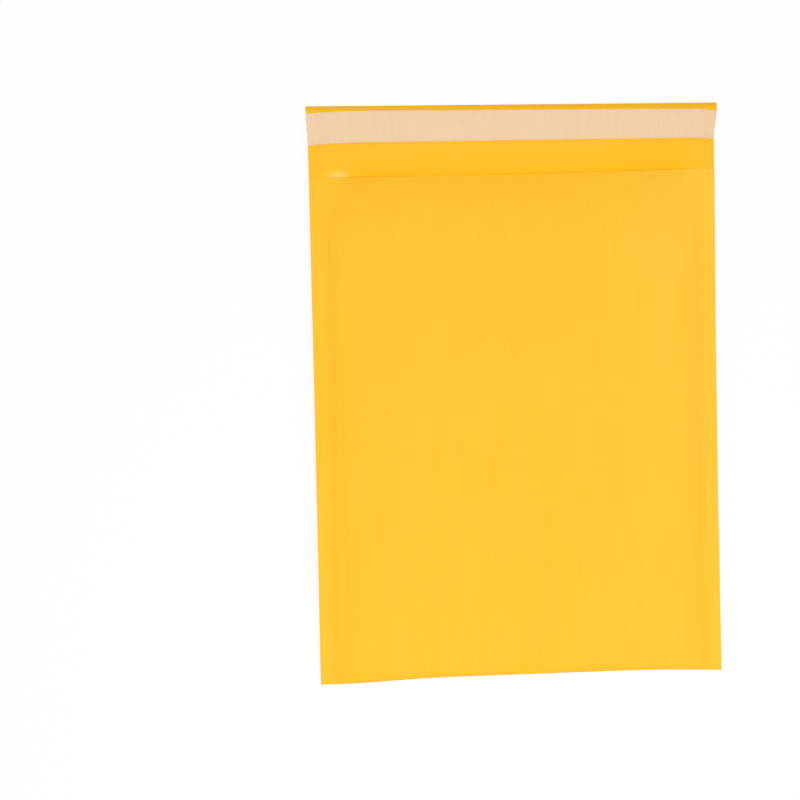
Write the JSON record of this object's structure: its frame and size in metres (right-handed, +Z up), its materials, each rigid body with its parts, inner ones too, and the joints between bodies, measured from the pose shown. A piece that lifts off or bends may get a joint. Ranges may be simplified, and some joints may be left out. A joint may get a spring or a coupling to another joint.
{
  "type": "bubble mailer",
  "caption": "Plain padded kraft mailer with a bubble film lining, lying on its back, its mouth ajar and its single-ply flap open with the peel strip still on.",
  "frame": {"origin": "on the table under the middle of the mailer's outline", "axes": "+X across the mailer, +Y from the bottom fold to the end of the flap, +Z up out of the front panel"},
  "size_m": [0.24, 0.34, 0.0113],
  "materials": {
    "kraft_paper": "satin golden kraft paper",
    "bubble_film": "clear glossy polyethylene bubble film",
    "hot_melt_glue": "glossy translucent amber glue",
    "release_paper": "smooth silicone-coated beige release paper"
  },
  "bodies": {
    "root": {"paper_envelope": "kraft_paper", "bubble_lining": "bubble_film", "adhesive_strip": "hot_melt_glue", "release_liner": "release_paper"}
  },
  "joints": []
}
